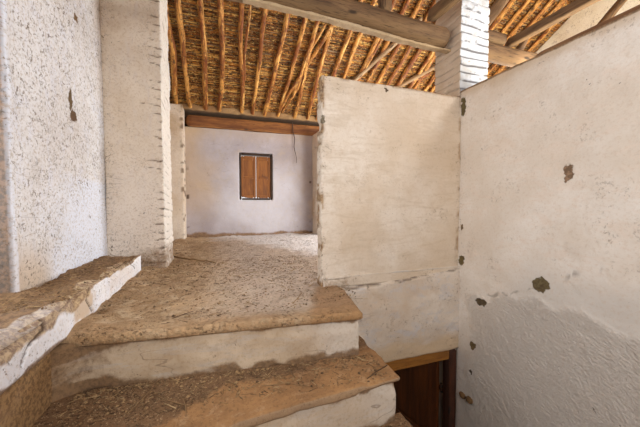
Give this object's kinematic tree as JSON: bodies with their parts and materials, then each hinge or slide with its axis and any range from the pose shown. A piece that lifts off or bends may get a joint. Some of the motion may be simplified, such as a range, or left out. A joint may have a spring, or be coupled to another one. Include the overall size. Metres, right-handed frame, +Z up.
{
  "type": "adobe house stair bay with attic storey",
  "caption": "Stair bay and attic storey of an adobe house, with masonry steps, plastered walls, a brick pier, a hinged stair door and a pole and cane roof under clay tiles.",
  "frame": {"origin": "ground level, at the centre of the plan, under the ridge", "axes": "+X to the right along the ridge, +Y towards the back wall with the window, +Z up"},
  "size_m": [7.33, 7.9144, 6.931],
  "materials": {
    "brown_wood": "weathered",
    "cane": "canes with earth above",
    "door_wood": "dark stained boards",
    "earth_floor": "worn earth",
    "earth_wall": "rough earth plaster",
    "frame_wood": "oiled",
    "gable_plaster": "rough yellowish plaster",
    "grey_wood": "weathered",
    "iron": "forged",
    "limewash": "rough lime wash over earth plaster",
    "pale_wash": "rough lime wash",
    "pole_wood": "peeled poles",
    "shutter_wood": "oiled boards",
    "step_earth": "worn earth over masonry",
    "tile": "fired clay, weathered",
    "white_brick": "whitewashed brick"
  },
  "bodies": {
    "house": {"left_wall_base": "earth_wall", "left_wall_back": "limewash", "left_wall_front": "limewash", "left_wall_over": "limewash", "side_lintel": "brown_wood", "left_kerb": "limewash", "left_pier": "limewash", "back_wall_base": "earth_wall", "back_wall": "pale_wash", "back_left_pier": "limewash", "back_right_pier": "limewash", "back_plate": "brown_wood", "back_eave_course": "earth_wall", "front_wall_base": "earth_wall", "front_parapet": "limewash", "front_piers": "limewash", "front_lintel": "brown_wood", "front_plate": "brown_wood", "front_eave_course": "earth_wall", "right_wall_base": "earth_wall", "right_wall": "gable_plaster", "well_side_wall": "limewash", "well_wall_cap": "brown_wood", "well_end_wall": "limewash", "well_end_head": "limewash", "partition": "limewash", "brick_pier": "white_brick", "attic_floor_back": "earth_floor", "attic_floor_right": "earth_floor", "floor_joists": "brown_wood", "floor_beam": "brown_wood", "stair_head": "step_earth", "upper_step_1": "step_earth", "upper_step_2": "step_earth", "upper_step_3": "step_earth", "half_landing": "step_earth", "lower_flight": "step_earth", "door_frame": "frame_wood", "door_pintles": "iron", "window_frame": "door_wood", "shutter_left": "shutter_wood", "shutter_right": "shutter_wood", "tie_beam": "grey_wood", "tie_bolster": "limewash", "right_tie_log": "grey_wood", "short_log": "grey_wood", "tie_timbers": "grey_wood", "ridge_post": "grey_wood", "roof_braces": "grey_wood", "ridge_log": "grey_wood", "back_poles": "pole_wood", "front_poles": "pole_wood", "back_roof_deck": "cane", "front_roof_deck": "cane", "back_tiles": "tile", "front_tiles": "tile", "ridge_tiles": "tile"},
    "stair_door": {"door_leaf": "door_wood"}
  },
  "joints": [
    {"name": "stair_door_hinge", "type": "hinge", "parent": "house", "child": "stair_door", "pos_m": [-0.331, -0.033, 0], "axis": [0, 0, 1], "range_deg": [-12, 75]}
  ]
}
